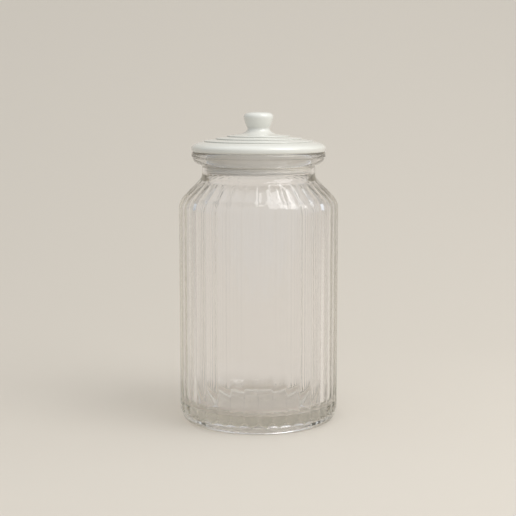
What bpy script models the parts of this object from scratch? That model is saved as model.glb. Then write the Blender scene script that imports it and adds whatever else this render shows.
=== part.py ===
"""Ribbed glass kitchen jar with a porcelain lid and a finned seal. Metres, +Z up.

The jar stands on the origin with its axis on Z. A profile point is (radius, height).
"""

import math

import bmesh
import bpy

# Jar, outside
RIB_COUNT = 36
BODY_RADIUS = 0.0700
RIB_DEPTH = 0.0016
BODY_HEIGHT = 0.1870
HEEL_WIDTH = 0.0035
HEEL_HEIGHT = 0.0060
BAND_HEIGHT = 0.0074
RIB_TIP = 0.0050
SHOULDER_BEND = 0.0160
SHOULDER_SLOPE = math.radians(45.0)
NECK_RADIUS = 0.0495
NECK_HEIGHT = 0.0106
NECK_FILLET = 0.0040
LIP_OVERHANG = 0.0092
LIP_FLARE = 0.0073
LIP_STEP = 0.0007
LIP_EDGE = 0.0041
LIP_ROUND = 0.0022

# Jar, inside and underside
BAND_WALL = 0.0034
NECK_WALL = 0.0026
MOUTH_ROUND = 0.0015
FLOOR_HEIGHT = 0.0143
FLOOR_ROUND = 0.0090
FOOT_WIDTH = 0.0135
FOOT_STEP = 0.0040
PUSH_UP = 0.0050

# Lid
SEAT_CLEARANCE = 0.0003
RIM_THICKNESS = 0.0087
RIM_WIDEST = 0.0032
RIM_CROWN = 0.0097
RIM_UNDERCUT = 0.0012
TERRACE_COUNT = 3
TERRACE_FOOT = 0.0478
TERRACE_STEP = 0.0011
TERRACE_SLOPE = 0.0010
FLARE_RADIUS = 0.0172
WAIST_RADIUS = 0.0096
WAIST_RISE = 0.0054
KNOB_RADIUS = 0.0130
KNOB_RISE = 0.0095
CROWN_RISE = 0.0046
LID_WALL = 0.0065
PLUG_DEPTH = 0.0189
PLUG_CLEARANCE = 0.0008
COLLAR_WALL = 0.0058

# Seal and its groove
SEAL_HEIGHT = 0.0050
SEAL_CLEARANCE = 0.0003
SEAL_WALL = 0.0010
SLEEVE_SET_BACK = 0.0019
FLANGE_HEIGHT = 0.0012
FLANGE_SET_BACK = 0.0010
FIN_COUNT = 2
FIN_PITCH = 0.0025
FIN_ROOT = 0.0011
FIN_TIP = 0.0005
FIN_LIFT = 0.0004
LOWEST_FIN = 0.0005

# Facets
BARE_SAMPLES_PER_RIB = 2
RIBBED_SAMPLES_PER_BARE = 2
LID_SEGMENTS = 48
SEAL_SEGMENTS = 48
SMOOTH_ANGLE = math.radians(35.0)

# Shares of the sizes above
GROOVE_SHARE = 0.62
TIP_ROW_SHARES = (1.0, 0.9, 0.7, 0.4, 0.0)
SLOPE_ROW_SHARES = (0.35, 0.65, 0.85, 1.0)
SLOPE_GROOVE_SHARES = (1.0, 0.85, 0.45, 0.0)
FOOT_SLOPE_SHARE = 0.4
TREAD_ROUND_SHARE = 0.4
CROWN_FLAT_SHARE = 0.45
CROWN_DOME_SHARE = 0.06
FLARE_PULL_SHARE = 0.35
BULB_PULL_SHARES = (0.95, 0.5)
RIM_PULL_SHARE = 0.62
LIP_PULL_SHARES = (0.80, 0.15)

PORCELAIN_COLOUR = (0.84, 0.84, 0.79, 1.0)
GLASS_COLOUR = (0.93, 0.94, 0.92, 1.0)
SILICONE_COLOUR = (0.80, 0.81, 0.79, 1.0)


def arc(centre, radius, start, end, steps):
    """Points of an arc about centre, from the start angle to the end angle, both included."""
    points = []
    for step in range(steps + 1):
        angle = start + (end - start) * step / steps
        points.append((centre[0] + radius * math.cos(angle), centre[1] + radius * math.sin(angle)))
    return points


def bend(first, pull, last, steps):
    """Points of a quadratic curve from first to last, drawn towards pull, without first itself."""
    points = []
    for step in range(1, steps + 1):
        t = step / steps
        share = ((1 - t) ** 2, 2 * t * (1 - t), t ** 2)
        points.append(tuple(share[0] * a + share[1] * b + share[2] * c for a, b, c in zip(first, pull, last)))
    return points


def ring(bm, count, height, radius_at):
    """One ring of vertices, whose radius follows the angle."""
    verts = []
    for index in range(count):
        angle = 2 * math.pi * index / count - math.pi / 2
        radius = radius_at(index)
        verts.append(bm.verts.new((radius * math.cos(angle), radius * math.sin(angle), height)))
    return verts


def round_ring(bm, count, point):
    """A ring with one radius, or a single vertex where the point lies on the axis."""
    if point[0] <= 0:
        return [bm.verts.new((0, 0, point[1]))]
    return ring(bm, count, point[1], lambda index: point[0])


def join_rings(bm, first, second):
    """Faces between two rings, of which the larger has a whole number of vertices for each of the other."""
    large, small = (first, second) if len(first) >= len(second) else (second, first)
    ratio = len(large) // len(small)
    if len(small) == 1:
        for index, vert in enumerate(large):
            bm.faces.new((vert, large[(index + 1) % len(large)], small[0]))
        return
    for index, vert in enumerate(small):
        after = small[(index + 1) % len(small)]
        run = [large[(index * ratio + step) % len(large)] for step in range(ratio + 1)]
        if ratio == 1:
            bm.faces.new((vert, after, run[1], run[0]))
            continue
        half = ratio // 2
        for step in range(ratio):
            bm.faces.new((run[step], run[step + 1], vert if step < half else after))
        bm.faces.new((vert, after, run[half]))


def object_from_rings(name, bm, rings, closed, material):
    """One smooth object whose skin runs over the rings in order."""
    pairs = list(zip(rings, rings[1:]))
    if closed:
        pairs.append((rings[-1], rings[0]))
    for first, second in pairs:
        join_rings(bm, first, second)
    bmesh.ops.recalc_face_normals(bm, faces=bm.faces)
    mesh = bpy.data.meshes.new(name)
    bm.to_mesh(mesh)
    bm.free()
    mesh.shade_smooth()
    mesh.set_sharp_from_angle(angle=SMOOTH_ANGLE)
    mesh.materials.append(material)
    piece = bpy.data.objects.new(name, mesh)
    bpy.context.scene.collection.objects.link(piece)
    return piece


def finish(name, colour, roughness, transmission, ior):
    """A Principled material."""
    material = bpy.data.materials.new(name)
    material.use_nodes = True
    shader = material.node_tree.nodes["Principled BSDF"]
    shader.inputs["Base Color"].default_value = colour
    shader.inputs["Roughness"].default_value = roughness
    shader.inputs["Metallic"].default_value = 0.0
    shader.inputs["Transmission Weight"].default_value = transmission
    shader.inputs["IOR"].default_value = ior
    return material


def shoulder_points():
    """Crest profile of the rounded bend above the straight side."""
    centre = (BODY_RADIUS - SHOULDER_BEND, BODY_HEIGHT)
    return arc(centre, SHOULDER_BEND, 0.0, SHOULDER_SLOPE, 3)


def shoulder_top():
    """Height at which the line of the sloped shoulder meets that of the neck."""
    radius, height = shoulder_points()[-1]
    return height + (radius - NECK_RADIUS) / math.tan(SHOULDER_SLOPE)


def fillet_foot():
    """Point on the slope at which the fillet into the neck starts."""
    across = NECK_FILLET * math.sin(SHOULDER_SLOPE)
    down = NECK_FILLET * math.cos(SHOULDER_SLOPE)
    return (NECK_RADIUS + across, shoulder_top() - down)


def lip_radius():
    return NECK_RADIUS + LIP_OVERHANG


def lip_top():
    return shoulder_top() + NECK_HEIGHT + LIP_FLARE + LIP_EDGE


def bore_radius():
    return NECK_RADIUS - NECK_WALL


def ribbed_ring(bm, point, relief_share, tip_share):
    """A ring at a crest point, cut in by the grooves between the ribs.

    relief_share is how much of the relief is left there. tip_share is 0 on a full rib and 1 past
    its lower end, where the surface has fallen to the smooth band.
    """

    samples = BARE_SAMPLES_PER_RIB * RIBBED_SAMPLES_PER_BARE

    def radius_at(index):
        groove = GROOVE_SHARE * (2 * (index % samples) / samples - 1) ** 2
        fall = groove + (1 - groove) * tip_share ** 2
        return point[0] - RIB_DEPTH * relief_share * fall

    return ring(bm, RIB_COUNT * samples, point[1], radius_at)


def underside_rings(bm, bare):
    """Recessed middle, foot ring and rounded heel."""
    band_radius = BODY_RADIUS - RIB_DEPTH
    foot_outer = band_radius - HEEL_WIDTH
    foot_inner = foot_outer - FOOT_WIDTH
    recess_edge = (foot_inner - FOOT_STEP * FOOT_SLOPE_SHARE, FOOT_STEP)
    points = [(0.0, PUSH_UP), recess_edge, (foot_inner, 0.0)]
    for across, height in arc((0.0, HEEL_HEIGHT), HEEL_HEIGHT, -math.pi / 2, 0.0, 4):
        points.append((foot_outer + across * HEEL_WIDTH / HEEL_HEIGHT, height))
    return [round_ring(bm, bare, point) for point in points]


def ribbed_rings(bm):
    """Rib tips, straight side, shoulder bend and slope."""
    rings = []
    for share in TIP_ROW_SHARES:
        height = BAND_HEIGHT + RIB_TIP * (1 - share)
        rings.append(ribbed_ring(bm, (BODY_RADIUS, height), 1.0, share))
    bend_points = shoulder_points()
    rings += [ribbed_ring(bm, point, 1.0, 0.0) for point in bend_points]
    start, end = bend_points[-1], fillet_foot()
    for share, groove in zip(SLOPE_ROW_SHARES, SLOPE_GROOVE_SHARES):
        point = (start[0] + (end[0] - start[0]) * share, start[1] + (end[1] - start[1]) * share)
        rings.append(ribbed_ring(bm, point, groove, 0.0))
    return rings


def neck_rings(bm, bare):
    """Fillet, neck, flared lip with its edge bead, and rounded mouth."""
    neck_top = shoulder_top() + NECK_HEIGHT
    edge_foot = neck_top + LIP_FLARE
    points = bend(fillet_foot(), (NECK_RADIUS, shoulder_top()), (NECK_RADIUS, shoulder_top() + NECK_FILLET), 3)
    points.append((NECK_RADIUS, neck_top))
    pull = (NECK_RADIUS + LIP_OVERHANG * LIP_PULL_SHARES[0], neck_top + LIP_FLARE * LIP_PULL_SHARES[1])
    points += bend(points[-1], pull, (lip_radius() - LIP_STEP, edge_foot), 4)
    points.append((lip_radius(), edge_foot + LIP_STEP))
    points += arc((lip_radius() - LIP_ROUND, lip_top() - LIP_ROUND), LIP_ROUND, 0.0, math.pi / 2, 3)
    mouth_centre = (bore_radius() + MOUTH_ROUND, lip_top() - MOUTH_ROUND)
    points += arc(mouth_centre, MOUTH_ROUND, math.pi / 2, math.pi, 2)
    return [round_ring(bm, bare, point) for point in points]


def inside_rings(bm, bare):
    """Bore, inner shoulder, inner wall, rounded corner and floor."""
    inner_radius = BODY_RADIUS - RIB_DEPTH - BAND_WALL
    inner_bend = SHOULDER_BEND - RIB_DEPTH - BAND_WALL
    centre = (BODY_RADIUS - SHOULDER_BEND, BODY_HEIGHT)
    bend_points = arc(centre, inner_bend, SHOULDER_SLOPE, 0.0, 3)
    start = bend_points[0]
    bore_foot = start[1] + (start[0] - bore_radius()) / math.tan(SHOULDER_SLOPE)
    corner = (inner_radius - FLOOR_ROUND, FLOOR_HEIGHT + FLOOR_ROUND)
    points = [(bore_radius(), bore_foot)] + bend_points
    points += arc(corner, FLOOR_ROUND, 0.0, -math.pi / 2, 4)
    points.append((0.0, FLOOR_HEIGHT))
    return [round_ring(bm, bare, point) for point in points]


def build_jar():
    """The jar: one piece of clear glass."""
    bm = bmesh.new()
    bare = RIB_COUNT * BARE_SAMPLES_PER_RIB
    rings = underside_rings(bm, bare)
    rings += ribbed_rings(bm)
    rings += neck_rings(bm, bare)
    rings += inside_rings(bm, bare)
    material = finish("clear_glass", GLASS_COLOUR, roughness=0.02, transmission=1.0, ior=1.5)
    return object_from_rings("glass_jar", bm, rings, False, material)


def plug_radius():
    return bore_radius() - PLUG_CLEARANCE


def groove_radius():
    return plug_radius() - SLEEVE_SET_BACK


def terrace_pitch():
    return (TERRACE_FOOT - FLARE_RADIUS) / TERRACE_COUNT


def flare_foot_height():
    """Height above the seat at which the knob's flare meets the top terrace."""
    return RIM_THICKNESS + (TERRACE_STEP + TERRACE_SLOPE) * TERRACE_COUNT


def knob_points():
    """Flare, waist, bulb and flattened crown, from the axis down to the flare's foot."""
    foot = (FLARE_RADIUS, flare_foot_height())
    waist = (WAIST_RADIUS, foot[1] + WAIST_RISE)
    widest = (KNOB_RADIUS, waist[1] + KNOB_RISE)
    crown = (KNOB_RADIUS * CROWN_FLAT_SHARE, widest[1] + CROWN_RISE * (1 - CROWN_DOME_SHARE))
    points = [(0.0, widest[1] + CROWN_RISE), crown]
    points += bend(crown, (KNOB_RADIUS, crown[1]), widest, 4)
    pull = (KNOB_RADIUS * BULB_PULL_SHARES[0], waist[1] + KNOB_RISE * BULB_PULL_SHARES[1])
    points += bend(widest, pull, waist, 3)
    points += bend(waist, (WAIST_RADIUS, foot[1] + WAIST_RISE * FLARE_PULL_SHARE), foot, 4)
    return points


def terrace_points():
    """Treads and rounded risers from the flare's foot out to the lowest terrace's foot."""
    points = []
    for index in range(TERRACE_COUNT, 0, -1):
        foot_radius = TERRACE_FOOT - terrace_pitch() * (index - 1)
        foot_height = RIM_THICKNESS + (TERRACE_STEP + TERRACE_SLOPE) * (index - 1)
        top = (foot_radius - TERRACE_STEP, foot_height + TERRACE_STEP)
        edge = (foot_radius, foot_height + TERRACE_STEP * (1 - TREAD_ROUND_SHARE))
        points += [top, edge, (foot_radius, foot_height)]
    return points


def rim_points():
    """Crowned top of the rim, its widest line and its undercut foot on the seat."""
    widest = (lip_radius(), RIM_WIDEST)
    crown = (lip_radius() - RIM_CROWN, RIM_THICKNESS)
    foot = (lip_radius() - RIM_UNDERCUT, 0.0)
    points = [crown]
    pull = (lip_radius(), RIM_WIDEST + (RIM_THICKNESS - RIM_WIDEST) * RIM_PULL_SHARE)
    points += bend(crown, pull, widest, 4)
    points += bend(widest, (lip_radius(), 0.0), foot, 2)
    return points


def plug_points():
    """Plug with the seal's groove, down to the foot of its collar."""
    foot = -PLUG_DEPTH
    groove_foot = foot + FLANGE_HEIGHT
    groove_top = groove_foot + SEAL_HEIGHT + 2 * SEAL_CLEARANCE
    flange = plug_radius() - FLANGE_SET_BACK
    return [
        (plug_radius(), 0.0),
        (plug_radius(), groove_top),
        (groove_radius(), groove_top),
        (groove_radius(), groove_foot),
        (flange, groove_foot),
        (flange, foot),
    ]


def hollow_points():
    """Inside of the collar and the domed ceiling under the knob."""
    inner = plug_radius() - COLLAR_WALL
    ceiling = flare_foot_height() - LID_WALL
    spring = (inner, 0.0)
    points = [(inner, -PLUG_DEPTH), spring]
    points += bend(spring, (inner, ceiling), (0.0, ceiling), 4)
    return points


def build_lid():
    """The lid: porcelain disc, knob and hollow plug in one piece, with its seat at height zero."""
    bm = bmesh.new()
    profile = knob_points() + terrace_points() + rim_points() + plug_points() + hollow_points()
    rings = [round_ring(bm, LID_SEGMENTS, point) for point in profile]
    material = finish("glazed_porcelain", PORCELAIN_COLOUR, roughness=0.18, transmission=0.0, ior=1.5)
    return object_from_rings("porcelain_lid", bm, rings, False, material)


def fin_points(root_radius, tip_radius, height):
    """One fin, from the upper side of its root round its tip to the lower side of its root."""
    return [
        (root_radius, height + FIN_ROOT / 2),
        (tip_radius, height + FIN_LIFT + FIN_TIP / 2),
        (tip_radius, height + FIN_LIFT - FIN_TIP / 2),
        (root_radius, height - FIN_ROOT / 2),
    ]


def build_seal():
    """The seal: a sleeve round the plug with soft fins, drawn as they stand in the mouth."""
    bm = bmesh.new()
    inner = groove_radius() + SEAL_CLEARANCE
    outer = inner + SEAL_WALL
    tip = bore_radius() - SEAL_CLEARANCE
    profile = [(inner, SEAL_HEIGHT), (outer, SEAL_HEIGHT)]
    for index in range(FIN_COUNT - 1, -1, -1):
        height = LOWEST_FIN + FIN_ROOT / 2 + FIN_PITCH * index
        profile += fin_points(outer, tip, height)
    profile += [(outer, 0.0), (inner, 0.0)]
    rings = [round_ring(bm, SEAL_SEGMENTS, point) for point in profile]
    material = finish("clear_silicone", SILICONE_COLOUR, roughness=0.35, transmission=0.4, ior=1.41)
    return object_from_rings("seal_ring", bm, rings, True, material)


def main():
    for old in list(bpy.data.objects):
        bpy.data.objects.remove(old)
    seat = lip_top() + SEAT_CLEARANCE
    seal_foot = seat - PLUG_DEPTH + FLANGE_HEIGHT + SEAL_CLEARANCE
    jar = build_jar()
    seal = build_seal()
    lid = build_lid()
    seal.parent = jar
    seal.location = (0, 0, seal_foot)
    lid.parent = seal
    lid.location = (0, 0, seat - seal_foot)
    print(f"lip top {lip_top():.4f} m, seat {seat:.4f} m, bore radius {bore_radius():.4f} m")


main()
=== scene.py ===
"""Looks of the ribbed glass kitchen jar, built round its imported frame. Metres, +Z up.

The jar stands on the origin with its axis on Z. A profile point is (radius, height).
"""

from __future__ import annotations

import logging
import math
from collections.abc import Iterable, Sequence
from dataclasses import dataclass
from enum import Enum, IntEnum
from typing import NamedTuple

import bmesh
import bpy
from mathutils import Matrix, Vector


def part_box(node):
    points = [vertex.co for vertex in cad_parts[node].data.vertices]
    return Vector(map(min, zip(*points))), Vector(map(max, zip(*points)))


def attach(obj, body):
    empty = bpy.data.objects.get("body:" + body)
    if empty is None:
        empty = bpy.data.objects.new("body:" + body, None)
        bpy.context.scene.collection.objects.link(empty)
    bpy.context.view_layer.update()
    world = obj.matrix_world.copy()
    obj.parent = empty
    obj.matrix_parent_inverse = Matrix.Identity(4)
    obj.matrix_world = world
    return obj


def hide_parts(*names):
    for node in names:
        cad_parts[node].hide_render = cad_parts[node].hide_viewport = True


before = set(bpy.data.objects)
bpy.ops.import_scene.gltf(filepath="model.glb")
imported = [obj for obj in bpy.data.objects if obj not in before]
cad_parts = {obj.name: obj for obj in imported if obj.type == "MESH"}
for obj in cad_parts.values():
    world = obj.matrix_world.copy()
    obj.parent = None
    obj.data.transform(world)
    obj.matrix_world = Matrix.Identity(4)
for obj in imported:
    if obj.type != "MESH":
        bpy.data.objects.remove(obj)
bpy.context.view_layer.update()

LOG = logging.getLogger("kitchen_jar")
MM = 0.001
FULL_TURN = 2 * math.pi
RIGHT_ANGLE = math.pi / 2
GLASS_BOUNCES = 32
LEAST_CHORD_SHARE = 0.001

Colour = tuple[float, float, float]
Socket = bpy.types.NodeSocket
Material = bpy.types.Material
Piece = bpy.types.Object


class Body(Enum):
    """The bodies of the frame that a piece can ride on."""

    JAR = "jar"
    SEAL = "seal"
    LID = "lid"


class Slot(Enum):
    """The record's material slots."""

    GLASS = "clear_glass"
    PORCELAIN = "white_porcelain"
    SILICONE = "clear_silicone"


class Sum(Enum):
    """The sums that the node trees here are made of."""

    ADD = "ADD"
    TAKE = "SUBTRACT"
    TIMES = "MULTIPLY"
    OVER = "DIVIDE"
    POWER = "POWER"
    LEAST = "MINIMUM"
    MOST = "MAXIMUM"
    SIZE = "ABSOLUTE"
    FRACTION = "FRACT"
    ANGLE = "ARCTAN2"


class Steps(IntEnum):
    """How many chords a stretch of a profile has."""

    EDGE = 3
    CORNER = 5
    FILLET = 6
    FLAT = 8
    BEAD = 10
    CURVE = 12
    BEND = 14
    LONG = 16
    TIP = 36
    WALL = 46
    SWEEP = 64


class Point(NamedTuple):
    """A point of a turned profile."""

    radius: float
    height: float


class Row(NamedTuple):
    """One ring of a turned skin, with what the rib press and the fin stack need to know of it."""

    radius: float
    height: float
    columns: int
    groove: float = 0.0
    tip: float = 0.0
    wave: float = 0.0
    cell: float = 0.0


ROW_SHARES = ("groove", "tip", "wave", "cell")


def arc(centre: Point, radius: float, start: float, end: float, steps: int) -> list[Point]:
    """Points of an arc, both ends included.

    Args:
        centre: The arc's centre.
        radius: Its radius.
        start: The first point's angle, in radians from the outward direction.
        end: The last point's angle.
        steps: How many chords it has.

    Returns:
        steps + 1 points in order.
    """
    angles = [start + (end - start) * step / steps for step in range(steps + 1)]
    return [Point(centre.radius + radius * math.cos(a), centre.height + radius * math.sin(a)) for a in angles]


def pulled(first: Point, pull: Point, last: Point, steps: int) -> list[Point]:
    """Points of a quadratic curve, without its first point.

    Args:
        first: Where the curve starts.
        pull: The point that the curve is drawn towards.
        last: Where it ends.
        steps: How many chords it has.

    Returns:
        steps points in order, the last of them last.
    """
    points = []
    for step in range(1, steps + 1):
        t = step / steps
        weights = ((1 - t) ** 2, 2 * t * (1 - t), t ** 2)
        mixed = (sum(w * value for w, value in zip(weights, axis)) for axis in zip(first, pull, last))
        points.append(Point(*mixed))
    return points


def towards(start: Point, end: Point, distance: float) -> Point:
    """The point at a distance from start on the way to end."""
    share = distance / math.dist(start, end)
    return Point(*(a + (b - a) * share for a, b in zip(start, end)))


def eased(before: Point, corner: Point, after: Point, reach: float, steps: int = 4) -> list[Point]:
    """A corner rounded off between the points on either side of it.

    Args:
        before: The point before the corner.
        corner: The corner itself.
        after: The point after it.
        reach: How far from the corner the round starts and ends.
        steps: How many chords the round has.

    Returns:
        The round's points, both ends included.
    """
    start = towards(corner, before, reach)
    return [start, *pulled(start, corner, towards(corner, after, reach), steps)]


def straight(start: Point, end: Point, steps: int) -> list[Point]:
    """Evenly spaced points from start to end, without start itself."""
    return [towards(start, end, math.dist(start, end) * step / steps) for step in range(1, steps + 1)]


def rows_of(points: Iterable[Point], columns: int, **shares: float) -> list[Row]:
    """Rows at these points, all with the same number of columns and the same shares."""
    return [Row(point.radius, point.height, columns, **shares) for point in points]


class TurnedSkin:
    """A skin turned round Z, row by row, whose rows may differ in how many columns they have."""

    def __init__(self, name: str) -> None:
        """Starts an empty skin.

        Args:
            name: The name of the piece that it will be.
        """
        self.name = name
        self.bm = bmesh.new()
        self.layers = {share: self.bm.verts.layers.float.new(share) for share in ROW_SHARES}

    def ring(self, row: Row) -> list[bmesh.types.BMVert]:
        """The vertices of one row, or a single one where it lies on the axis."""
        if row.radius <= 0:
            verts = [self.bm.verts.new((0, 0, row.height))]
        else:
            angles = [FULL_TURN * index / row.columns - RIGHT_ANGLE for index in range(row.columns)]
            places = [(row.radius * math.cos(a), row.radius * math.sin(a), row.height) for a in angles]
            verts = [self.bm.verts.new(place) for place in places]
        for vert in verts:
            for share, layer in self.layers.items():
                vert[layer] = getattr(row, share)
        return verts

    def join(self, first: list[bmesh.types.BMVert], second: list[bmesh.types.BMVert]) -> None:
        """Faces between two rings, the larger with a whole number of vertices for each of the other."""
        large, small = (first, second) if len(first) >= len(second) else (second, first)
        if len(small) == 1:
            for index, vert in enumerate(large):
                self.bm.faces.new((vert, large[(index + 1) % len(large)], small[0]))
            return
        ratio = len(large) // len(small)
        for index, vert in enumerate(small):
            after = small[(index + 1) % len(small)]
            run = [large[(index * ratio + step) % len(large)] for step in range(ratio + 1)]
            if ratio == 1:
                self.bm.faces.new((vert, after, run[1], run[0]))
                continue
            half = ratio // 2
            for step in range(ratio):
                self.bm.faces.new((run[step], run[step + 1], vert if step < half else after))
            self.bm.faces.new((vert, after, run[half]))

    def strip(self, rows: Sequence[Row]) -> None:
        """Adds one run of rows, in order."""
        rings = [self.ring(row) for row in rows]
        for first, second in zip(rings, rings[1:]):
            self.join(first, second)

    def piece(self) -> Piece:
        """Closes the books and links the skin to the scene as a smooth mesh object."""
        bmesh.ops.recalc_face_normals(self.bm, faces=self.bm.faces)
        mesh = bpy.data.meshes.new(self.name)
        self.bm.to_mesh(mesh)
        self.bm.free()
        mesh.shade_smooth()
        made = bpy.data.objects.new(self.name, mesh)
        bpy.context.scene.collection.objects.link(made)
        return made


class NodeBench:
    """Adds nodes to one tree, wires them and sets their plain values."""

    def __init__(self, tree: bpy.types.NodeTree) -> None:
        """Starts work on a tree.

        Args:
            tree: A shader or geometry tree.
        """
        self.tree = tree

    def node(self, kind: str, inputs: dict[str, object] | None = None, **settings: object) -> bpy.types.Node:
        """One node with its settings and inputs.

        Args:
            kind: The node's Blender type.
            inputs: By socket name, a socket to wire from or a plain value.
            settings: The node's own settings.

        Returns:
            The new node.
        """
        made = self.tree.nodes.new(kind)
        for name, value in settings.items():
            setattr(made, name, value)
        for name, value in (inputs or {}).items():
            self.feed(made.inputs[name], value)
        return made

    def feed(self, socket: Socket, value: object) -> None:
        """Wires a socket, or sets its plain value."""
        if isinstance(value, Socket):
            self.tree.links.new(value, socket)
        else:
            socket.default_value = value

    def sum(self, operation: Sum, *values: object) -> Socket:
        """The result of one sum on sockets or numbers."""
        made = self.tree.nodes.new("ShaderNodeMath")
        made.operation = operation.value
        for socket, value in zip(made.inputs, values):
            self.feed(socket, value)
        return made.outputs[0]

    def share(self, name: str) -> Socket:
        """A row share that the skin carries on its points."""
        made = self.node("GeometryNodeInputNamedAttribute", {"Name": name}, data_type="FLOAT")
        return next(socket for socket in made.outputs if socket.enabled)

    def noise(self, place: object, length: float, detail: float = 2.0) -> Socket:
        """Smooth noise from 0 to 1 at a place, whose swells are about a length apart."""
        made = self.node("ShaderNodeTexNoise", {"Vector": place, "Scale": 1 / length, "Detail": detail})
        return made.outputs["Fac"]

    def ramp(self, value: object, start: float, end: float, low: float, high: float) -> Socket:
        """A level that goes from low to high while the value goes from start to end, and stays there."""
        span = {"From Min": start, "From Max": end, "To Min": low, "To Max": high}
        return self.node("ShaderNodeMapRange", {"Value": value, **span}).outputs[0]

    def blend(self, share: object, first: object, second: object) -> Socket:
        """A colour between two others, each a socket or a plain colour."""
        made = self.node("ShaderNodeMix", {"Factor": share}, data_type="RGBA")
        for name, colour in (("A", first), ("B", second)):
            self.feed(made.inputs[name], (*colour, 1) if isinstance(colour, tuple) else colour)
        return made.outputs["Result"]


class GeometryTree:
    """A geometry node tree with named inputs, and the means to run it once on a piece."""

    SIZES: tuple[str, ...] = ()

    def __init__(self, name: str, maker: object) -> None:
        """Makes the tree with a geometry input, one input for each size, and a finish.

        Args:
            name: The tree's name.
            maker: What has the values that SIZES names, whole numbers for counts.
        """
        self.sizes = {size: getattr(maker, size) for size in self.SIZES}
        self.tree = bpy.data.node_groups.new(name, "GeometryNodeTree")
        face = self.tree.interface
        face.new_socket("Geometry", in_out="INPUT", socket_type="NodeSocketGeometry")
        for size, value in self.sizes.items():
            kind = "NodeSocketInt" if isinstance(value, int) else "NodeSocketFloat"
            face.new_socket(size, in_out="INPUT", socket_type=kind)
        face.new_socket("Finish", in_out="INPUT", socket_type="NodeSocketMaterial")
        face.new_socket("Geometry", in_out="OUTPUT", socket_type="NodeSocketGeometry")
        self.bench = NodeBench(self.tree)
        self.inputs = self.bench.node("NodeGroupInput").outputs
        self.lay_out()

    def lay_out(self) -> None:
        """Adds the nodes between the inputs and finish_with."""
        raise NotImplementedError

    def finish_with(self, geometry: Socket) -> None:
        """Ends the tree: instances made real, finish set."""
        real = self.bench.node("GeometryNodeRealizeInstances", {"Geometry": geometry})
        coat = {"Geometry": real.outputs["Geometry"], "Material": self.inputs["Finish"]}
        dressed = self.bench.node("GeometryNodeSetMaterial", coat)
        self.bench.node("NodeGroupOutput", {"Geometry": dressed.outputs["Geometry"]})

    def run_on(self, piece: Piece, finish: Material) -> None:
        """Runs the tree on a piece and leaves it a plain mesh.

        Args:
            piece: The object that holds the blank.
            finish: The material that the tree sets.
        """
        modifier = piece.modifiers.new(self.tree.name, "NODES")
        modifier.node_group = self.tree
        values = {**self.sizes, "Finish": finish}
        for item in self.tree.interface.items_tree:
            if item.in_out == "INPUT" and item.name in values:
                modifier[item.identifier] = values[item.name]
        graph = bpy.context.evaluated_depsgraph_get()
        made = bpy.data.meshes.new_from_object(piece.evaluated_get(graph), depsgraph=graph)
        piece.modifiers.clear()
        blank, piece.data = piece.data, made
        bpy.data.meshes.remove(blank)
        made.name = piece.name


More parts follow.
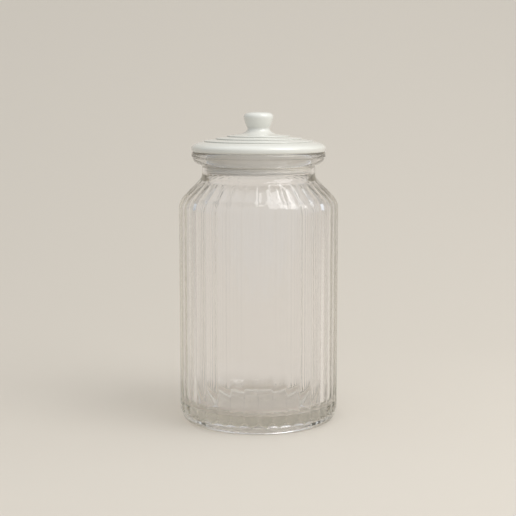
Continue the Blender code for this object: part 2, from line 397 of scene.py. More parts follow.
class RibPress(GeometryTree):
    """Presses round ribs into a turned blank, and leaves its inside slightly wavy."""

    SIZES = (
        "rib_count", "rib_depth", "groove_share", "groove_round_share", "end_start_share",
        "wave_length", "wave_depth",
    )

    def lay_out(self) -> None:
        """Moves each point in or out along its radius."""
        bench, given = self.bench, self.inputs
        place = bench.node("GeometryNodeInputPosition").outputs["Position"]
        parts = bench.node("ShaderNodeSeparateXYZ", {"Vector": place}).outputs
        turn = bench.sum(Sum.ADD, bench.sum(Sum.ANGLE, parts["Y"], parts["X"]), RIGHT_ANGLE)
        ribs = bench.sum(Sum.TIMES, bench.sum(Sum.OVER, turn, FULL_TURN), given["rib_count"])
        across = bench.sum(Sum.TAKE, bench.sum(Sum.TIMES, bench.sum(Sum.FRACTION, ribs), 2.0), 1.0)
        across = bench.sum(Sum.SIZE, across)
        section = bench.sum(Sum.TIMES, self.rib_section(across), given["groove_share"])
        ended = bench.sum(Sum.TIMES, bench.sum(Sum.TAKE, 1.0, section), self.rib_end(across))
        depth = bench.sum(Sum.TIMES, given["rib_depth"], bench.share("groove"))
        relief = bench.sum(Sum.TIMES, depth, bench.sum(Sum.ADD, section, ended))
        wave = bench.sum(Sum.TIMES, self.wave(place), bench.share("wave"))
        outwards = bench.node("ShaderNodeCombineXYZ", {"X": parts["X"], "Y": parts["Y"]}).outputs["Vector"]
        unit = bench.node("ShaderNodeVectorMath", {0: outwards}, operation="NORMALIZE").outputs["Vector"]
        shift = bench.node("ShaderNodeVectorMath", {0: unit}, operation="SCALE")
        bench.feed(shift.inputs["Scale"], bench.sum(Sum.TAKE, wave, relief))
        offset = {"Geometry": given["Geometry"], "Offset": shift.outputs["Vector"]}
        self.finish_with(bench.node("GeometryNodeSetPosition", offset).outputs["Geometry"])

    def rib_section(self, across: Socket) -> Socket:
        """How far the surface falls from the crest, from 0 there to 1 in the groove, which is rounded.

        Args:
            across: 0 at the crest and 1 in the groove.

        Returns:
            The fall as a share of the rib's depth.
        """
        bench, soft = self.bench, self.inputs["groove_round_share"]
        edge = bench.sum(Sum.TAKE, 1.0, soft)
        crest = bench.sum(Sum.POWER, bench.sum(Sum.LEAST, across, edge), 2.0)
        past = bench.sum(Sum.MOST, bench.sum(Sum.TAKE, across, edge), 0.0)
        steep = bench.sum(Sum.TIMES, bench.sum(Sum.TIMES, edge, past), 2.0)
        level = bench.sum(Sum.TIMES, bench.sum(Sum.OVER, edge, soft), bench.sum(Sum.POWER, past, 2.0))
        total = bench.sum(Sum.TAKE, bench.sum(Sum.ADD, crest, steep), level)
        return bench.sum(Sum.OVER, total, edge)

    def rib_end(self, across: Socket) -> Socket:
        """How far a rib has fallen away at its fingertip end, from 0 to 1 on the end's round outline.

        Args:
            across: 0 at the crest and 1 in the groove.

        Returns:
            The share of the fall.
        """
        bench, start = self.bench, self.inputs["end_start_share"]
        chord = bench.sum(Sum.TAKE, 1.0, bench.sum(Sum.POWER, across, 2.0))
        chord = bench.sum(Sum.MOST, chord, LEAST_CHORD_SHARE)
        reach = bench.sum(Sum.OVER, bench.sum(Sum.POWER, bench.share("tip"), 2.0), chord)
        past = bench.sum(Sum.OVER, bench.sum(Sum.TAKE, reach, start), bench.sum(Sum.TAKE, 1.0, start))
        return bench.sum(Sum.POWER, bench.sum(Sum.LEAST, bench.sum(Sum.MOST, past, 0.0), 1.0), 2.0)

    def wave(self, place: Socket) -> Socket:
        """The inner wall's unevenness at a place, in metres either way."""
        bench = self.bench
        scale = bench.sum(Sum.OVER, 1.0, self.inputs["wave_length"])
        rough = bench.node("ShaderNodeTexNoise", {"Vector": place, "Scale": scale, "Detail": 1.0})
        centred = bench.sum(Sum.TAKE, rough.outputs["Fac"], 0.5)
        return bench.sum(Sum.TIMES, bench.sum(Sum.TIMES, centred, 2.0), self.inputs["wave_depth"])


class FinStack(GeometryTree):
    """Repeats one fin's cell up the seal and welds the copies to its sleeve."""

    SIZES = ("fin_count", "fin_pitch", "weld")

    def lay_out(self) -> None:
        """Splits the blank, stacks the cell and welds the seams."""
        bench, given = self.bench, self.inputs
        split = bench.node(
            "GeometryNodeSeparateGeometry",
            {"Geometry": given["Geometry"], "Selection": bench.share("cell")},
            domain="FACE",
        )
        rise = bench.node("ShaderNodeCombineXYZ", {"Z": given["fin_pitch"]}).outputs["Vector"]
        spacing = {"Count": given["fin_count"], "Offset": rise}
        line = bench.node("GeometryNodeMeshLine", spacing, mode="OFFSET")
        copies = {"Points": line.outputs["Mesh"], "Instance": split.outputs["Selection"]}
        stack = bench.node("GeometryNodeInstanceOnPoints", copies)
        real = bench.node("GeometryNodeRealizeInstances", {"Geometry": stack.outputs["Instances"]})
        whole = bench.node("GeometryNodeJoinGeometry")
        bench.tree.links.new(split.outputs["Inverted"], whole.inputs["Geometry"])
        bench.tree.links.new(real.outputs["Geometry"], whole.inputs["Geometry"])
        seams = {"Geometry": whole.outputs["Geometry"], "Distance": given["weld"]}
        self.finish_with(bench.node("GeometryNodeMergeByDistance", seams).outputs["Geometry"])


class Finish:
    """What every finish shares: a named material whose nodes start empty."""

    def bench(self, name: str) -> tuple[Material, NodeBench]:
        """A new material and the bench for its tree."""
        material = bpy.data.materials.new(name)
        material.use_nodes = True
        material.node_tree.nodes.clear()
        return material, NodeBench(material.node_tree)

    def place(self, bench: NodeBench) -> Socket:
        """Object coordinates, in metres."""
        return bench.node("ShaderNodeTexCoord").outputs["Object"]

    def bump(self, bench: NodeBench, height: object, depth: float, base: object = None) -> Socket:
        """A surface normal raised by a height from 0 to 1 times a depth in metres."""
        made = bench.node("ShaderNodeBump", {"Height": height, "Distance": depth, "Strength": 1.0})
        if base is not None:
            bench.feed(made.inputs["Normal"], base)
        return made.outputs["Normal"]


@dataclass(frozen=True)
class PressedGlass(Finish):
    """Clear soda-lime glass: yellowish green where it is thick, slightly wavy, and letting lamps through."""

    ior: float = 1.5
    tint: Colour = (0.990, 0.985, 0.992)
    cast: Colour = (0.775, 0.765, 0.710)
    cast_per_metre: float = 12.0
    lamp_light: Colour = (0.82, 0.815, 0.805)
    wave_length: float = 16 * MM
    wave_depth: float = 0.05 * MM
    ripple_length: float = 3.5 * MM
    ripple_depth: float = 0.006 * MM
    stipple: float = 0.25
    stipple_top: float = 6.0 * MM
    stipple_reach: float = 46.0 * MM
    stipple_fade: float = 2.0 * MM
    stipple_top_fade: float = 0.5 * MM
    ground: float = 0.5
    ground_depth: float = 0.6 * MM
    ground_fade: float = 0.4 * MM
    foot_ground: float = 0.3 * MM

    def stippled(self, bench: NodeBench, place: Socket) -> Socket:
        """Roughness: a ground foot ring and lip top, a stippled underside, clear elsewhere."""
        parts = bench.node("ShaderNodeSeparateXYZ", {"Vector": place}).outputs
        height = parts["Z"]
        rim_foot = seat_height() - self.ground_depth
        rim = bench.ramp(height, rim_foot, rim_foot + self.ground_fade, 0.0, self.ground)
        low = bench.ramp(height, self.stipple_top, self.stipple_top + self.stipple_top_fade, 1.0, 0.0)
        flat = bench.node("ShaderNodeCombineXYZ", {"X": parts["X"], "Y": parts["Y"]}).outputs["Vector"]
        away = bench.node("ShaderNodeVectorMath", {0: flat}, operation="LENGTH").outputs["Value"]
        reach = self.stipple_reach
        inner = bench.ramp(away, reach, reach + self.stipple_fade, self.stipple, 0.0)
        foot = bench.ramp(height, 0.0, self.foot_ground, self.ground, 0.0)
        underside = bench.sum(Sum.TIMES, low, inner)
        return bench.sum(Sum.MOST, foot, bench.sum(Sum.ADD, rim, underside))

    def material(self) -> Material:
        """Builds the material."""
        made, bench = self.bench("pressed_glass")
        place = self.place(bench)
        broad = self.bump(bench, bench.noise(place, self.wave_length, detail=1.0), self.wave_depth)
        normal = self.bump(bench, bench.noise(place, self.ripple_length), self.ripple_depth, broad)
        glass = bench.node(
            "ShaderNodeBsdfPrincipled",
            {"Base Color": (*self.tint, 1), "IOR": self.ior, "Transmission Weight": 1.0, "Normal": normal},
        )
        bench.feed(glass.inputs["Roughness"], self.stippled(bench, place))
        lamps = bench.node("ShaderNodeBsdfTransparent", {"Color": (*self.lamp_light, 1)})
        ray = bench.node("ShaderNodeLightPath").outputs["Is Shadow Ray"]
        mix = bench.node("ShaderNodeMixShader", {0: ray, 1: glass.outputs[0], 2: lamps.outputs[0]})
        depth = {"Color": (*self.cast, 1), "Density": self.cast_per_metre}
        cast = bench.node("ShaderNodeVolumeAbsorption", depth)
        bench.node("ShaderNodeOutputMaterial", {"Surface": mix.outputs[0], "Volume": cast.outputs[0]})
        return made


@dataclass(frozen=True)
class GlazedPorcelain(Finish):
    """White porcelain under a clear glaze, unglazed from its seat down, where a much lighter colour is
    painted light on the plug and collar that sit in the lid's shade.
    """

    clay: Colour = (0.645, 0.635, 0.578)
    pale_clay: Colour = (0.685, 0.675, 0.618)
    # Painted light: far lighter than the glazed clay, to brighten the plug and collar that sit in the lid's
    # shade.
    unglazed_clay_painted_light: Colour = (0.94, 0.885, 0.78)
    unglazed_painted_light_fade: float = 0.5 * MM
    speck: Colour = (0.62, 0.60, 0.54)
    cloud_length: float = 14 * MM
    cloud_detail: float = 4.0
    speck_length: float = 0.9 * MM
    speck_share: float = 0.16
    speck_start: float = 0.68
    speck_full: float = 0.78
    glaze_ripple: float = 2.4 * MM
    glaze_depth: float = 0.010 * MM
    smooth: float = 0.14
    dull: float = 0.30
    ior: float = 1.5
    coat: float = 0.5
    coat_roughness: float = 0.06

    def material(self) -> Material:
        """Builds the material."""
        made, bench = self.bench("glazed_porcelain")
        place = self.place(bench)
        cloud = bench.noise(place, self.cloud_length, self.cloud_detail)
        body = bench.blend(cloud, self.clay, self.pale_clay)
        grain = bench.noise(place, self.speck_length)
        specks = bench.ramp(grain, self.speck_start, self.speck_full, 0.0, self.speck_share)
        glazed = bench.blend(specks, body, self.speck)
        height = bench.node("ShaderNodeSeparateXYZ", {"Vector": place}).outputs["Z"]
        seat = seat_height()
        # Below the seat the lighter unglazed colour takes over: painted light on the shaded plug and collar.
        unglazed_painted_light = bench.ramp(height, seat + self.unglazed_painted_light_fade, seat, 0.0, 1.0)
        normal = self.bump(bench, bench.noise(place, self.glaze_ripple), self.glaze_depth)
        shader = bench.node(
            "ShaderNodeBsdfPrincipled",
            {
                "Base Color": bench.blend(unglazed_painted_light, glazed, self.unglazed_clay_painted_light),
                "Roughness": bench.ramp(cloud, 0.0, 1.0, self.smooth, self.dull),
                "IOR": self.ior,
                "Coat Weight": self.coat,
                "Coat Roughness": self.coat_roughness,
                "Normal": normal,
            },
        )
        bench.node("ShaderNodeOutputMaterial", {"Surface": shader.outputs[0]})
        return made


@dataclass(frozen=True)
class SoftSilicone(Finish):
    """Milky silicone with a faint moulded grain."""

    tone: Colour = (0.93, 0.89, 0.81)
    deep_tone: Colour = (0.88, 0.84, 0.76)
    cloud_length: float = 9 * MM
    grain_length: float = 0.5 * MM
    grain_depth: float = 0.006 * MM
    roughness: float = 0.28
    ior: float = 1.41

    def material(self) -> Material:
        """Builds the material."""
        made, bench = self.bench("soft_silicone")
        place = self.place(bench)
        colour = bench.blend(bench.noise(place, self.cloud_length), self.tone, self.deep_tone)
        normal = self.bump(bench, bench.noise(place, self.grain_length), self.grain_depth)
        shader = bench.node(
            "ShaderNodeBsdfPrincipled",
            {"Base Color": colour, "Roughness": self.roughness, "IOR": self.ior, "Normal": normal},
        )
        bench.node("ShaderNodeOutputMaterial", {"Surface": shader.outputs[0]})
        return made


def seat_height() -> float:
    """Height of the lip's top, which the lid sits on."""
    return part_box("glass_jar")[1].z


def report(piece: Piece) -> None:
    """Logs one finished piece."""
    triangles = sum(len(face.vertices) - 2 for face in piece.data.polygons)
    span = " x ".join(f"{1000 * size:.2f}" for size in piece.dimensions)
    LOG.info("%s: %d triangles, %s mm", piece.name, triangles, span)


@dataclass
class GlassJar:
    """The jar: ribbed body, smooth neck, flared lip, thick floor and pushed-up underside.

    crest_slack keeps the crests inside the facets that the frame measures.
    """

    rib_count: int = 36
    rib_depth: float = 1.6 * MM
    crest_slack: float = 0.06 * MM
    groove_share: float = 0.62
    rib_tip: float = 5.0 * MM
    heel_width: float = 3.5 * MM
    heel_height: float = 6.0 * MM
    band_height: float = 7.4 * MM
    shoulder_bend: float = 16.0 * MM
    shoulder_slope: float = math.radians(45)
    neck_radius: float = 49.5 * MM
    neck_height: float = 10.6 * MM
    neck_fillet: float = 4.0 * MM
    lip_flare: float = 7.3 * MM
    lip_step: float = 0.7 * MM
    step_round: float = 0.6 * MM
    lip_edge: float = 4.1 * MM
    lip_round: float = 2.2 * MM
    lip_pull_shares: Point = Point(0.80, 0.15)
    mouth_round: float = 1.5 * MM
    band_wall: float = 3.4 * MM
    neck_wall: float = 2.6 * MM
    bore_fillet: float = 2.5 * MM
    floor_height: float = 14.3 * MM
    floor_round: float = 9.0 * MM
    foot_width: float = 13.5 * MM
    foot_step: float = 4.0 * MM
    foot_slope_share: float = 0.4
    push_up: float = 5.0 * MM
    columns_per_rib: int = 20
    bare_columns: int = 180
    groove_end_power: float = 2.5
    groove_end_share: float = 0.35
    groove_round_share: float = 0.14
    end_start_share: float = 0.6
    wave_length: float = 26 * MM
    wave_depth: float = 0.10 * MM
    wave_fade_power: float = 0.5

    def __post_init__(self) -> None:
        """Takes the overall sizes from the frame."""
        jar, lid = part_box("glass_jar"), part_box("porcelain_lid")
        self.body_radius = jar[1].x / math.cos(math.pi / self.rib_count) - self.crest_slack
        self.lip_radius = lid[1].x
        self.lip_top = jar[1].z
        self.neck_top = self.lip_top - self.lip_edge - self.lip_flare
        self.shoulder_top = self.neck_top - self.neck_height
        run = self.body_radius - self.shoulder_bend * (1 - math.cos(self.shoulder_slope)) - self.neck_radius
        rise = self.shoulder_bend * math.sin(self.shoulder_slope) + run / math.tan(self.shoulder_slope)
        self.body_height = self.shoulder_top - rise
        self.bore_radius = self.neck_radius - self.neck_wall

    def underside(self) -> list[Row]:
        """Pushed-up middle, foot ring and the heel, a quarter ellipse."""
        foot_outer = self.body_radius - self.rib_depth - self.heel_width
        foot_inner = foot_outer - self.foot_width
        dome_edge = Point(foot_inner - self.foot_step * self.foot_slope_share, self.foot_step)
        middle = Point(0.0, self.push_up)
        pull = Point(dome_edge.radius / 2, self.push_up)
        points = [middle, *pulled(middle, pull, dome_edge, Steps.FLAT)]
        contact = Point(foot_inner, 0.0)
        points += eased(dome_edge, contact, Point(foot_outer, 0.0), self.foot_step / 2)
        heel = arc(Point(0.0, self.heel_height), self.heel_height, -RIGHT_ANGLE, 0.0, Steps.BEND)
        slimmer = self.heel_width / self.heel_height
        points += [Point(foot_outer + point.radius * slimmer, point.height) for point in heel]
        return rows_of(points, self.bare_columns)

    def ribbed(self) -> list[Row]:
        """Fingertip rib ends, straight side, shoulder bend and slope."""
        columns = self.rib_count * self.columns_per_rib
        rows = []
        for step in range(Steps.TIP + 1):
            tip = 1 - step / Steps.TIP
            height = self.band_height + self.rib_tip * (1 - tip)
            rows.append(Row(self.body_radius, height, columns, groove=1.0, tip=tip))
        side_foot = Point(rows[-1].radius, rows[-1].height)
        side = straight(side_foot, Point(self.body_radius, self.body_height), Steps.FILLET)
        centre = Point(self.body_radius - self.shoulder_bend, self.body_height)
        bend = arc(centre, self.shoulder_bend, 0.0, self.shoulder_slope, Steps.BEND)[1:]
        rows += rows_of(side + bend, columns, groove=1.0)
        slope_end = Point(self.neck_radius, self.shoulder_top)
        fillet_start = towards(slope_end, bend[-1], self.neck_fillet)
        for step, point in enumerate(straight(bend[-1], fillet_start, Steps.LONG), start=1):
            share = (step / Steps.LONG - self.groove_end_share) / (1 - self.groove_end_share)
            past = max(0.0, share)
            rows.append(Row(point.radius, point.height, columns, groove=1 - past ** self.groove_end_power))
        return rows

    def neck(self) -> list[Row]:
        """Fillet, neck, flared lip with its edge bead, and rounded mouth."""
        slope_end = Point(self.neck_radius, self.shoulder_top)
        neck_top = Point(self.neck_radius, self.neck_top)
        fall = (self.body_radius - self.neck_radius) / math.tan(self.shoulder_slope)
        slope_start = Point(self.body_radius, self.shoulder_top - fall)
        points = eased(slope_start, slope_end, neck_top, self.neck_fillet, Steps.FILLET)[1:]
        points += straight(points[-1], neck_top, Steps.EDGE)
        reach = self.lip_radius - self.neck_radius
        pull = Point(
            self.neck_radius + reach * self.lip_pull_shares.radius,
            self.neck_top + self.lip_flare * self.lip_pull_shares.height,
        )
        flare_end = Point(self.lip_radius - self.lip_step, self.lip_top - self.lip_edge)
        bead_foot = Point(self.lip_radius, flare_end.height)
        bead_top = Point(self.lip_radius, self.lip_top)
        points += pulled(neck_top, pull, flare_end, Steps.BEAD)
        points += eased(flare_end, bead_foot, bead_top, self.step_round, Steps.CORNER)
        bead = Point(self.lip_radius - self.lip_round, self.lip_top - self.lip_round)
        points += arc(bead, self.lip_round, 0.0, RIGHT_ANGLE, Steps.BEAD)
        mouth = Point(self.bore_radius + self.mouth_round, self.lip_top - self.mouth_round)
        points += arc(mouth, self.mouth_round, RIGHT_ANGLE, math.pi, Steps.FILLET)
        return rows_of(points, self.bare_columns)

    def inside(self) -> list[Row]:
        """Bore, inner shoulder, wavy inner wall, rounded corner and floor."""
        thinner = self.rib_depth + self.band_wall
        inner_radius = self.body_radius - thinner
        centre = Point(self.body_radius - self.shoulder_bend, self.body_height)
        inner_bend = self.shoulder_bend - thinner
        bend = arc(centre, inner_bend, self.shoulder_slope, 0.0, Steps.BEAD)
        bore_foot = Point(
            self.bore_radius,
            bend[0].height + (bend[0].radius - self.bore_radius) / math.tan(self.shoulder_slope),
        )
        bore_top = Point(self.bore_radius, self.lip_top - self.mouth_round)
        points = eased(bore_top, bore_foot, bend[0], self.bore_fillet, Steps.FILLET) + bend
        corner = Point(inner_radius - self.floor_round, self.floor_height + self.floor_round)
        rows = rows_of(points, self.bare_columns)
        wall = straight(bend[-1], Point(inner_radius, corner.height), Steps.WALL)
        for step, point in enumerate(wall, start=1):
            level = math.sin(math.pi * step / (Steps.WALL + 1)) ** self.wave_fade_power
            rows.append(Row(point.radius, point.height, self.bare_columns, wave=level))
        floor = arc(corner, self.floor_round, 0.0, -RIGHT_ANGLE, Steps.CURVE)[1:]
        floor += straight(floor[-1], Point(0.0, self.floor_height), Steps.FLAT)
        return rows + rows_of(floor, self.bare_columns)

    def build(self) -> Piece:
        """Turns the blank, presses its ribs and puts it in the frame.

        Returns:
            The finished jar.
        """
        skin = TurnedSkin("jar_glass")
        skin.strip(self.underside() + self.ribbed() + self.neck() + self.inside())
        piece = skin.piece()
        RibPress("press_ribs", self).run_on(piece, PressedGlass().material())
        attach(piece, Body.JAR.value)
        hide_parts("glass_jar")
        return piece


@dataclass
class PorcelainLid:
    """The lid: mushroom knob, three terraces, round rim and the hollow plug that holds the seal."""

    columns: int = 160
    seat_clearance: float = 0.3 * MM
    rim_thickness: float = 8.7 * MM
    rim_widest: float = 3.2 * MM
    rim_crown: float = 9.7 * MM
    rim_undercut: float = 1.2 * MM
    rim_pull_share: float = 0.62
    terrace_count: int = 3
    terrace_foot: float = 47.8 * MM
    terrace_step: float = 1.1 * MM
    terrace_slope: float = 1.0 * MM
    terrace_ease: float = 0.45 * MM
    notch_height: float = 0.4 * MM
    notch_depth: float = 0.6 * MM
    flare_radius: float = 17.2 * MM
    flare_pull_share: float = 0.35
    waist_radius: float = 9.6 * MM
    waist_rise: float = 5.4 * MM
    knob_radius: float = 13.0 * MM
    knob_rise: float = 9.5 * MM
    crown_flat_share: float = 0.45
    crown_dome_share: float = 0.06
    bulb_pull_shares: Point = Point(0.95, 0.5)
    lid_wall: float = 6.5 * MM
    plug_radius: float = 46.1 * MM
    collar_wall: float = 5.8 * MM
    groove_depth: float = 1.9 * MM
    flange_height: float = 1.2 * MM
    flange_set_back: float = 1.0 * MM
    groove_height: float = 5.6 * MM
    edge_ease: float = 0.4 * MM

    def __post_init__(self) -> None:
        """Takes the seat, the rim's radius and the lid's full height from the frame."""
        low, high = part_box("porcelain_lid")
        self.seat = seat_height() + self.seat_clearance
        self.rim_radius = high.x
        self.top = high.z - self.seat
        self.plug_foot = low.z - self.seat
        self.flare_height = self.rim_thickness + (self.terrace_step + self.terrace_slope) * self.terrace_count

    def knob(self) -> list[Point]:
        """Domed crown, bulb, waist and flare, from the axis down to the flare's foot."""
        foot = Point(self.flare_radius, self.flare_height)
        waist = Point(self.waist_radius, foot.height + self.waist_rise)
        widest = Point(self.knob_radius, waist.height + self.knob_rise)
        dome = (self.top - widest.height) * self.crown_dome_share
        crown = Point(self.knob_radius * self.crown_flat_share, self.top - dome)
        middle = Point(0.0, self.top)
        points = [middle, *pulled(middle, Point(crown.radius / 2, self.top), crown, Steps.CORNER)]
        points += pulled(crown, Point(self.knob_radius, crown.height), widest, Steps.CURVE)
        pull = Point(
            self.knob_radius * self.bulb_pull_shares.radius,
            waist.height + self.knob_rise * self.bulb_pull_shares.height,
        )
        points += pulled(widest, pull, waist, Steps.BEAD)
        flare_pull = Point(self.waist_radius, foot.height + self.waist_rise * self.flare_pull_share)
        return points + pulled(waist, flare_pull, foot, Steps.CURVE)

    def terraces(self) -> list[Point]:
        """Treads and eased risers, from the flare's foot out to the lowest terrace's foot."""
        pitch = (self.terrace_foot - self.flare_radius) / self.terrace_count
        points = []
        for index in range(self.terrace_count, 0, -1):
            radius = self.terrace_foot - pitch * (index - 1)
            height = self.rim_thickness + (self.terrace_step + self.terrace_slope) * (index - 1)
            edge = Point(radius, height + self.terrace_step)
            tread_end = Point(radius - pitch, edge.height + self.terrace_slope)
            notch_top = Point(radius, height + self.notch_height)
            notch = Point(radius - self.notch_depth, height + self.notch_height / 2)
            foot = Point(radius, height)
            points += eased(tread_end, edge, notch_top, self.terrace_ease, Steps.CORNER)
            points += [notch_top, *pulled(notch_top, notch, foot, Steps.CORNER)]
        return points

    def rim(self) -> list[Point]:
        """Crowned top of the rim, its widest line and its undercut foot on the seat."""
        widest = Point(self.rim_radius, self.rim_widest)
        crown = Point(self.rim_radius - self.rim_crown, self.rim_thickness)
        rise = (self.rim_thickness - self.rim_widest) * self.rim_pull_share
        pull = Point(self.rim_radius, self.rim_widest + rise)
        points = [crown, *pulled(crown, pull, widest, Steps.LONG)]
        foot = Point(self.rim_radius - self.rim_undercut, 0.0)
        return points + pulled(widest, Point(self.rim_radius, 0.0), foot, Steps.FILLET)

    def plug(self) -> list[Point]:
        """Plug with the seal's groove, down to the foot of its collar."""
        groove_foot = self.plug_foot + self.flange_height
        groove_top = groove_foot + self.groove_height
        groove = self.plug_radius - self.groove_depth
        flange = self.plug_radius - self.flange_set_back
        inner = self.plug_radius - self.collar_wall
        corners = [
            Point(self.rim_radius - self.rim_undercut, 0.0),
            Point(self.plug_radius, 0.0),
            Point(self.plug_radius, groove_top),
            Point(groove, groove_top),
            Point(groove, groove_foot),
            Point(flange, groove_foot),
            Point(flange, self.plug_foot),
            Point(inner, self.plug_foot),
            Point(inner, 0.0),
        ]
        points = []
        for before, corner, after in zip(corners, corners[1:], corners[2:]):
            points += eased(before, corner, after, self.edge_ease, Steps.EDGE)
        return points

    def hollow(self) -> list[Point]:
        """The domed ceiling inside the collar."""
        inner = self.plug_radius - self.collar_wall
        ceiling = self.flare_height - self.lid_wall
        spring = Point(inner, 0.0)
        return [spring, *pulled(spring, Point(inner, ceiling), Point(0.0, ceiling), Steps.CURVE)]

    def build(self) -> Piece:
        """Turns the lid and puts it in the frame.

        Returns:
            The finished lid.
        """
        profile = self.knob() + self.terraces() + self.rim() + self.plug() + self.hollow()
        skin = TurnedSkin("lid_porcelain")
        skin.strip(rows_of([Point(p.radius, p.height + self.seat) for p in profile], self.columns))
        piece = skin.piece()
        piece.data.materials.append(GlazedPorcelain().material())
        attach(piece, Body.LID.value)
        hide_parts("porcelain_lid")
        return piece


@dataclass
class FinnedSeal:
    """The seal: a silicone sleeve with soft fins that bend against the mouth."""

    columns: int = 160
    wall: float = 1.0 * MM
    clearance: float = 0.3 * MM
    fin_count: int = 2
    fin_root: float = 1.1 * MM
    fin_tip: float = 0.5 * MM
    fin_lift: float = 0.4 * MM
    lowest_fin: float = 0.5 * MM
    edge_ease: float = 0.2 * MM
    weld: float = 0.001 * MM

    def __post_init__(self) -> None:
        """Takes the seal's height and its outer reach from the frame, and its bore from the plug's groove."""
        low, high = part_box("seal_ring")
        self.foot, self.top, self.tip_radius = low.z, high.z, high.x
        plug = PorcelainLid()
        self.inner = plug.plug_radius - plug.groove_depth + self.clearance
        self.outer = self.inner + self.wall
        self.fin_pitch = (self.top - self.foot) / self.fin_count

    def cell(self) -> list[Point]:
        """One fin and the stretch of sleeve round its root, from the sleeve's foot up."""
        root = self.foot + self.lowest_fin + self.fin_root / 2
        low_root = Point(self.outer, root - self.fin_root / 2)
        high_root = Point(self.outer, root + self.fin_root / 2)
        low_tip = Point(self.tip_radius, root + self.fin_lift - self.fin_tip / 2)
        high_tip = Point(self.tip_radius, root + self.fin_lift + self.fin_tip / 2)
        foot, top = Point(self.outer, self.foot), Point(self.outer, self.foot + self.fin_pitch)
        points = [foot, *eased(foot, low_root, low_tip, self.edge_ease, Steps.EDGE)]
        points += eased(low_root, low_tip, high_tip, self.fin_tip / 2, Steps.EDGE)
        points += eased(low_tip, high_tip, high_root, self.fin_tip / 2, Steps.EDGE)[1:]
        return points + eased(high_tip, high_root, top, self.edge_ease, Steps.EDGE) + [top]

    def sleeve(self) -> list[Point]:
        """Top edge, inner wall and foot of the sleeve."""
        foot, top = Point(self.outer, self.foot), Point(self.outer, self.top)
        inner_top, inner_foot = Point(self.inner, self.top), Point(self.inner, self.foot)
        points = [top, *eased(top, inner_top, inner_foot, self.edge_ease, Steps.EDGE)]
        return points + eased(inner_top, inner_foot, foot, self.edge_ease, Steps.EDGE) + [foot]

    def build(self) -> Piece:
        """Turns one cell and the sleeve, stacks the fins and puts the seal in the frame.

        Returns:
            The finished seal.
        """
        skin = TurnedSkin("seal_silicone")
        skin.strip(rows_of(self.cell(), self.columns, cell=1.0))
        skin.strip(rows_of(self.sleeve(), self.columns))
        piece = skin.piece()
        FinStack("stack_fins", self).run_on(piece, SoftSilicone().material())
        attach(piece, Body.SEAL.value)
        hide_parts("seal_ring")
        return piece


@dataclass(frozen=True)
class PhotoCamera:
    """The camera at the photograph's place and angle."""

    distance: float = 1.091
    height: float = 0.288
    aside: float = -0.0005
    dip: float = math.radians(7.6)
    sensor: float = 36.0
    lens: float = 86.8

    def place(self) -> None:
        """Makes the camera and hands it to the scene."""
        data = bpy.data.cameras.new("photo_camera")
        data.sensor_width, data.lens = self.sensor, self.lens
        camera = bpy.data.objects.new("photo_camera", data)
        camera.location = (self.aside, -self.distance, self.height)
        camera.rotation_euler = (RIGHT_ANGLE - self.dip, 0.0, 0.0)
        bpy.context.scene.collection.objects.link(camera)
        bpy.context.scene.camera = camera


@dataclass(frozen=True)
class SoftBox:
    """A rectangular studio lamp that faces a point."""

    name: str
    place: tuple[float, float, float]
    aim: tuple[float, float, float]
    width: float
    height: float
    power: float
    colour: Colour = (1.0, 1.0, 1.0)

    def hang(self) -> None:
        """Makes the lamp."""
        data = bpy.data.lights.new(self.name, "AREA")
        data.shape, data.size, data.size_y = "RECTANGLE", self.width, self.height
        data.energy, data.color = self.power, self.colour
        lamp = bpy.data.objects.new(self.name, data)
        lamp.location = self.place
        lamp.rotation_euler = (Vector(self.aim) - Vector(self.place)).to_track_quat("-Z", "Y").to_euler()
        bpy.context.scene.collection.objects.link(lamp)


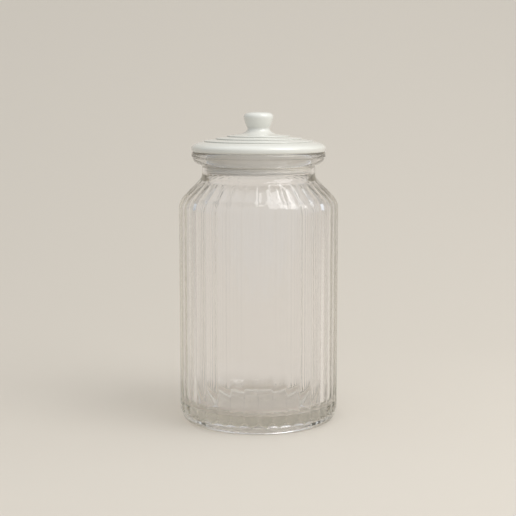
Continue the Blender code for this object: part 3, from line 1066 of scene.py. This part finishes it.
@dataclass(frozen=True)
class Studio:
    """Seamless pale sweep, soft lamps and a dim room."""

    half_width: float = 3.0
    front: float = -0.8
    paper_lift: float = 0.05 * MM
    bend_start: float = 0.30
    bend_radius: float = 1.7
    wall_height: float = 2.8
    paper_roughness: float = 0.9
    paper_tone: Colour = (0.60, 0.55, 0.48)
    dim_side: Colour = (0.27, 0.295, 0.32)
    bright_side: Colour = (1.10, 1.125, 1.15)
    bright_way: tuple[float, float, float] = (0.50, -0.22, 0.72)
    lamps: tuple[SoftBox, ...] = (
        SoftBox("key_lamp", (0.80, -0.50, 1.35), (0.0, 0.0, 0.12), 0.9, 1.3, 13.5),
    )

    def sweep_points(self) -> list[tuple[float, float]]:
        """The sweep's outline as (y, z), from its front edge up its wall."""
        points = [(self.front, self.paper_lift), (self.bend_start, self.paper_lift)]
        for step in range(1, Steps.SWEEP + 1):
            angle = RIGHT_ANGLE * step / Steps.SWEEP
            back = self.bend_start + self.bend_radius * math.sin(angle)
            points.append((back, self.bend_radius * (1 - math.cos(angle)) + self.paper_lift))
        return points + [(self.bend_start + self.bend_radius, self.wall_height)]

    def paper(self) -> Material:
        """Pale matt paper of one colour."""
        made, bench = Finish().bench("sweep_paper")
        look = {"Base Color": (*self.paper_tone, 1), "Roughness": self.paper_roughness}
        shader = bench.node("ShaderNodeBsdfPrincipled", look)
        bench.node("ShaderNodeOutputMaterial", {"Surface": shader.outputs[0]})
        return made

    def room(self) -> bpy.types.World:
        """Soft light from all round, brighter on the lamp's side."""
        world = bpy.data.worlds.new("room")
        world.use_nodes = True
        world.node_tree.nodes.clear()
        bench = NodeBench(world.node_tree)
        way = bench.node("ShaderNodeTexCoord").outputs["Generated"]
        facing = bench.node("ShaderNodeVectorMath", {0: way, 1: self.bright_way}, operation="DOT_PRODUCT")
        share = bench.ramp(facing.outputs["Value"], -1.0, 1.0, 0.0, 1.0)
        light = bench.blend(share, self.dim_side, self.bright_side)
        glow = bench.node("ShaderNodeBackground", {"Color": light})
        bench.node("ShaderNodeOutputWorld", {"Surface": glow.outputs[0]})
        return world

    def build(self) -> None:
        """Hangs the sweep and the lamps and sets the room's light."""
        bm = bmesh.new()
        edges = []
        for y, z in self.sweep_points():
            edges.append([bm.verts.new((side * self.half_width, y, z)) for side in (-1, 1)])
        for low, high in zip(edges, edges[1:]):
            bm.faces.new((low[0], low[1], high[1], high[0]))
        mesh = bpy.data.meshes.new("paper_sweep")
        bm.to_mesh(mesh)
        bm.free()
        mesh.shade_smooth()
        mesh.materials.append(self.paper())
        sweep = bpy.data.objects.new("paper_sweep", mesh)
        bpy.context.scene.collection.objects.link(sweep)
        for lamp in self.lamps:
            lamp.hang()
        bpy.context.scene.world = self.room()


def show_glass_in_full() -> None:
    """Lets light pass every layer of the glass, and shows tones as they are."""
    scene = bpy.context.scene
    scene.cycles.max_bounces = scene.cycles.transmission_bounces = scene.cycles.glossy_bounces = GLASS_BOUNCES
    scene.view_settings.view_transform = "Standard"


def main() -> None:
    """Builds the camera, the pieces and the studio, in that order."""
    logging.basicConfig(level=logging.INFO, format="%(name)s %(message)s")
    PhotoCamera().place()
    for maker in (GlassJar(), FinnedSeal(), PorcelainLid()):
        report(maker.build())
    Studio().build()
    show_glass_in_full()


if __name__ == "__main__":
    main()
